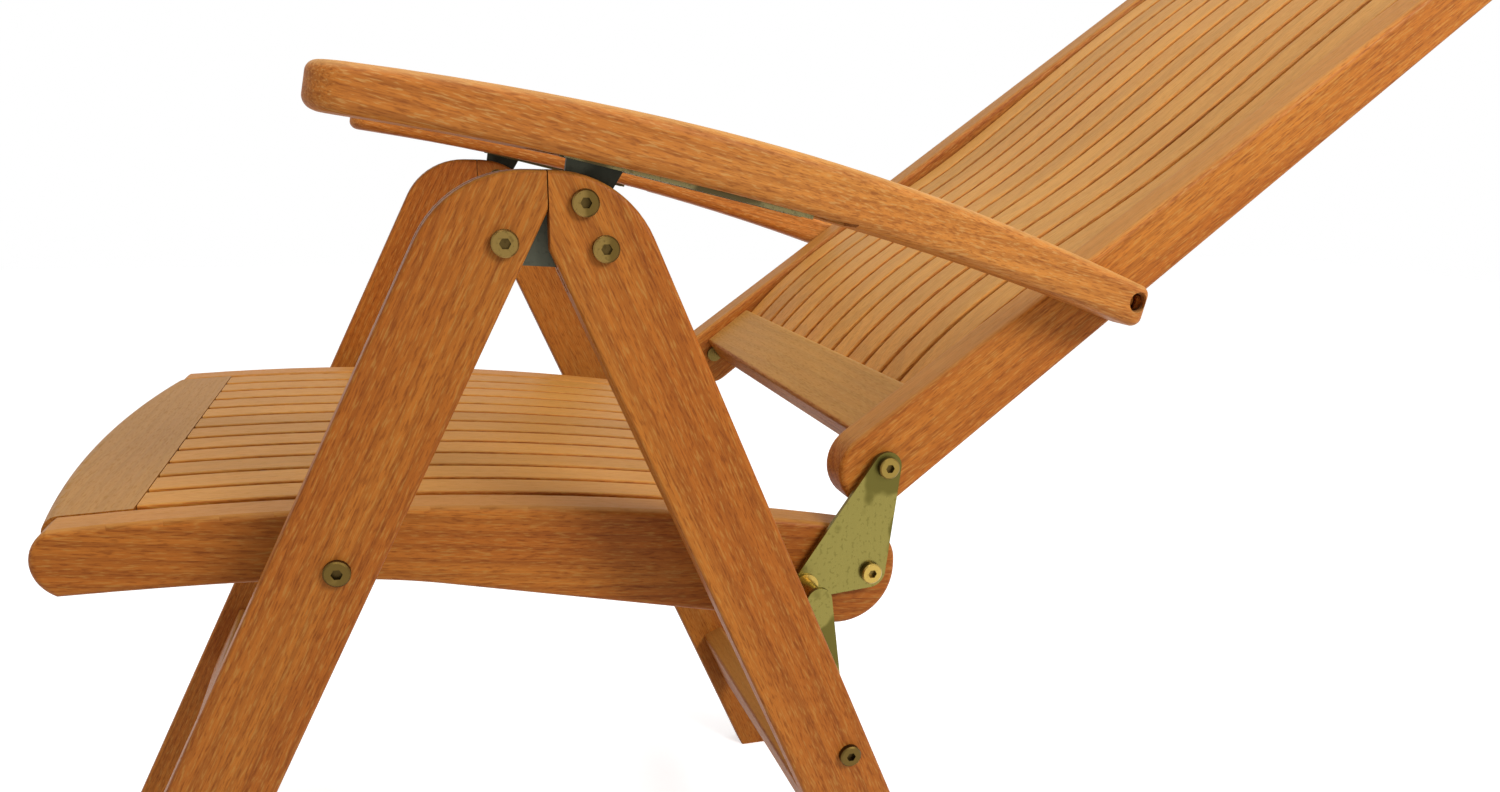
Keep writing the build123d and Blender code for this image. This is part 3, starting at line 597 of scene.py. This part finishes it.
class StudioSettings(bpy.types.PropertyGroup):
    eye: bpy.props.FloatVectorProperty(
        name="Eye", description="Place of the camera", subtype="TRANSLATION", size=3,
        default=(0.8231, -0.2417, 0.6515),
    )
    yaw: bpy.props.FloatProperty(
        name="Yaw", description="Turn from the view across the chair towards its rear", subtype="ANGLE",
        default=radians(17.29),
    )
    pitch: bpy.props.FloatProperty(
        name="Pitch", description="Angle below level", subtype="ANGLE", default=radians(17.52),
    )
    roll: bpy.props.FloatProperty(
        name="Roll", description="Turn about the line of sight", subtype="ANGLE", default=radians(1.06),
    )
    lens: bpy.props.FloatProperty(
        name="Lens", description="Focal length in millimetres", min=5, max=200, default=26.23,
    )
    shift: bpy.props.FloatProperty(
        name="Shift", description="Rise of the frame as a share of its width", default=0.0693,
    )
    key: bpy.props.FloatProperty(
        name="Key", description="Power of the lamp overhead", unit="POWER", default=33.0,
    )
    side: bpy.props.FloatProperty(
        name="Side", description="Power of the lamp beside", unit="POWER", default=46.0,
    )
    sky: bpy.props.FloatProperty(name="Sky", description="Strength of the room's light", default=0.37)
    floor: share_setting("Floor", "Lightness of the floor", 0.8)


# Pieces

class ARMCHAIR_OT_legs(bpy.types.Operator):
    """Finish the legs and the stretchers between them"""

    bl_idname = "armchair.legs"
    bl_label = "Legs and stretchers"

    def execute(self, context):
        names = both("front_leg") + both("rear_leg") + ["front_stretcher", "rear_stretcher"]
        finish_group(names, LEG_NUMBER, LEG_TINT)
        return {"FINISHED"}


class ARMCHAIR_OT_seat(bpy.types.Operator):
    """Finish the seat's rails, boards, battens and slats"""

    bl_idname = "armchair.seat"
    bl_label = "Seat"

    def execute(self, context):
        boards = ["seat_front_board", "seat_rear_rail", "seat_batten"]
        finish_group(both("seat_rail"), SEAT_RAIL_NUMBER, SEAT_RAIL_TINT)
        finish_group(boards, SEAT_BOARD_NUMBER, SEAT_BOARD_TINT)
        finish_group(counted("seat_slat", SLAT_COUNT), SEAT_SLAT_NUMBER, SEAT_SLAT_TINT)
        return {"FINISHED"}


class ARMCHAIR_OT_back(bpy.types.Operator):
    """Finish the back's stiles, rails, batten and slats"""

    bl_idname = "armchair.back"
    bl_label = "Back"

    def execute(self, context):
        rails = ["back_bottom_rail", "back_top_rail", "back_batten"]
        finish_group(both("stile"), STILE_NUMBER, STILE_TINT)
        finish_group(rails, BACK_RAIL_NUMBER, BACK_RAIL_TINT)
        finish_group(counted("back_slat", SLAT_COUNT), BACK_SLAT_NUMBER, BACK_SLAT_TINT)
        return {"FINISHED"}


class ARMCHAIR_OT_armrests(bpy.types.Operator):
    """Finish the armrests"""

    bl_idname = "armchair.armrests"
    bl_label = "Armrests"

    def execute(self, context):
        finish_group(both("armrest"), ARM_NUMBER, ARM_TINT)
        return {"FINISHED"}


class ARMCHAIR_OT_brass(bpy.types.Operator):
    """Finish the plates, links, tracks, sleeves, spacers, washers and the rings in the armrests"""

    bl_idname = "armchair.brass"
    bl_label = "Brass fittings"

    def execute(self, context):
        look = context.scene.armchair_metal
        plate = metal_material("Plate brass", look.plate_bright, look.plate_dull)
        cover(both("plate") + both("link") + ["plate_washers", "seat_spacers"], plate)
        cover(["link_sleeves"], metal_material("Sleeve brass", look.gold_bright, look.gold_dull))
        cover(both("track"), metal_material("Track brass", look.track_bright, look.track_dull))
        cover(["arm_inserts"], metal_material("Ring bronze", look.bronze_bright, look.bronze_dull))
        return {"FINISHED"}


class ARMCHAIR_OT_bolts(bpy.types.Operator):
    """Finish the bolts, those in the legs and plates with painted shade in their sockets"""

    bl_idname = "armchair.bolts"
    bl_label = "Bolts"

    def execute(self, context):
        look = context.scene.armchair_metal
        finish_bolts(["front_leg_bolts", "rear_leg_bolts"], look.bolt_bright, look.bolt_dull)
        finish_bolts(["plate_seat_bolts", "back_pivot_bolts"], look.gold_bright, look.gold_dull)
        cover(["arm_pivot_bolts"], metal_material("Bolt bronze", look.bronze_bright, look.bronze_dull))
        return {"FINISHED"}


class ARMCHAIR_OT_steel(bpy.types.Operator):
    """Finish the hinge plates and their track pins"""

    bl_idname = "armchair.steel"
    bl_label = "Hinge plates"

    def execute(self, context):
        look = context.scene.armchair_metal
        steel = metal_material(
            "Dark steel", look.steel_bright, look.steel_dull, haze=STEEL_HAZE, relief=STEEL_RELIEF,
        )
        cover(both("hinge_plate") + ["track_pins"], steel)
        return {"FINISHED"}


def level_square(name, width):
    """A level square about the frame's origin, as an object."""
    shape = bmesh.new()
    bmesh.ops.create_grid(shape, x_segments=1, y_segments=1, size=width / 2)
    mesh = bpy.data.meshes.new(name)
    shape.to_mesh(mesh)
    shape.free()
    made = bpy.data.objects.new(name, mesh)
    bpy.context.scene.collection.objects.link(made)
    return made


def plain_view(tree, rays):
    """Whether a ray comes from the camera, from gloss or through glass."""
    seen = sums(tree, "ADD", rays.outputs["Is Camera Ray"], rays.outputs["Is Glossy Ray"], clamp=True)
    return sums(tree, "ADD", seen, rays.outputs["Is Transmission Ray"], clamp=True)


def floor_material(lightness):
    """A pale floor that takes shadow, and glows where it is seen so that it shows white."""
    material, tree, shader = start_material("Studio floor")
    shader.inputs["Base Color"].default_value = (lightness, lightness, lightness, 1)
    shader.inputs["Roughness"].default_value = FLOOR_ROUGHNESS
    rays = node(tree, "ShaderNodeLightPath")
    seen = plain_view(tree, rays)
    shader.inputs["Emission Color"].default_value = WHITE
    link(tree, sums(tree, "MULTIPLY", seen, FLOOR_GLOW), shader.inputs["Emission Strength"])
    return material


def studio_world(strength):
    """Soft even light, with a plain white background."""
    world = bpy.data.worlds.new("Studio")
    world.use_nodes = True
    tree = world.node_tree
    background = tree.nodes["Background"]
    background.inputs["Color"].default_value = WHITE
    rays = node(tree, "ShaderNodeLightPath")
    seen = plain_view(tree, rays)
    level = sums(tree, "ADD", strength, sums(tree, "MULTIPLY", seen, 1.0 - strength))
    link(tree, level, background.inputs["Strength"])
    bpy.context.scene.world = world


def soft_lamp(name, place, target, size, power):
    """A square area lamp that looks at a target."""
    lamp = bpy.data.lights.new(name, "AREA")
    lamp.energy = power
    lamp.size = size
    made = bpy.data.objects.new(name, lamp)
    bpy.context.scene.collection.objects.link(made)
    made.location = place
    made.rotation_euler = (target - place).to_track_quat("-Z", "Y").to_euler()


def place_camera(look):
    """The camera at its place, turned from a level look across the chair by yaw, pitch and roll."""
    ahead, right, up = Vector((-1, 0, 0)), Vector((0, 1, 0)), Vector((0, 0, 1))
    turn = look.yaw
    ahead, right = ahead * cos(turn) + right * sin(turn), right * cos(turn) - ahead * sin(turn)
    turn = look.pitch
    ahead, up = ahead * cos(turn) - up * sin(turn), up * cos(turn) + ahead * sin(turn)
    turn = look.roll
    right, up = right * cos(turn) + up * sin(turn), up * cos(turn) - right * sin(turn)
    lens = bpy.data.cameras.new("Camera")
    lens.lens = look.lens
    lens.shift_y = look.shift
    lens.clip_start = NEAREST_SIGHT
    camera = bpy.data.objects.new("Camera", lens)
    bpy.context.scene.collection.objects.link(camera)
    turned = Matrix((right, up, -ahead)).transposed().to_4x4()
    camera.matrix_world = Matrix.Translation(Vector(look.eye)) @ turned
    bpy.context.scene.camera = camera


class ARMCHAIR_OT_stage(bpy.types.Operator):
    """Set the floor, the light, the background and the camera"""

    bl_idname = "armchair.stage"
    bl_label = "Stage"

    def execute(self, context):
        look = context.scene.armchair_studio
        floor = level_square("Floor", FLOOR_WIDTH)
        floor.data.materials.append(floor_material(look.floor))
        studio_world(look.sky)
        middle = (cad_low + cad_high) / 2
        soft_lamp("Overhead lamp", middle + OVERHEAD_PLACE, middle, OVERHEAD_SIZE, look.key)
        soft_lamp("Side lamp", middle + SIDE_PLACE, middle, SIDE_SIZE, look.side)
        place_camera(look)
        context.scene.view_settings.view_transform = "Standard"
        return {"FINISHED"}


class ARMCHAIR_PT_panel(bpy.types.Panel):
    """The armchair's finishes and studio"""

    bl_idname = "ARMCHAIR_PT_panel"
    bl_label = "Armchair"
    bl_space_type = "VIEW_3D"
    bl_region_type = "UI"
    bl_category = "Armchair"

    def draw(self, context):
        for step in STEPS:
            self.layout.operator(step.bl_idname)
        for group_name in SETTINGS:
            settings = getattr(context.scene, group_name)
            box = self.layout.box()
            for name in settings.bl_rna.properties.keys():
                if name not in ("rna_type", "name"):
                    box.prop(settings, name)


STEPS = (
    ARMCHAIR_OT_legs,
    ARMCHAIR_OT_seat,
    ARMCHAIR_OT_back,
    ARMCHAIR_OT_armrests,
    ARMCHAIR_OT_brass,
    ARMCHAIR_OT_bolts,
    ARMCHAIR_OT_steel,
    ARMCHAIR_OT_stage,
)
SETTINGS = {
    "armchair_timber": TimberSettings,
    "armchair_metal": MetalSettings,
    "armchair_studio": StudioSettings,
}


def register():
    for name, settings in SETTINGS.items():
        bpy.utils.register_class(settings)
        setattr(bpy.types.Scene, name, bpy.props.PointerProperty(type=settings))
    for step in STEPS:
        bpy.utils.register_class(step)
    bpy.utils.register_class(ARMCHAIR_PT_panel)


def unregister():
    bpy.utils.unregister_class(ARMCHAIR_PT_panel)
    for step in reversed(STEPS):
        bpy.utils.unregister_class(step)
    for name, settings in SETTINGS.items():
        delattr(bpy.types.Scene, name)
        bpy.utils.unregister_class(settings)


def main():
    register()
    bpy.ops.armchair.legs()
    bpy.ops.armchair.seat()
    bpy.ops.armchair.back()
    bpy.ops.armchair.armrests()
    bpy.ops.armchair.brass()
    bpy.ops.armchair.bolts()
    bpy.ops.armchair.steel()
    bpy.ops.armchair.stage()


if __name__ == "__main__":
    main()
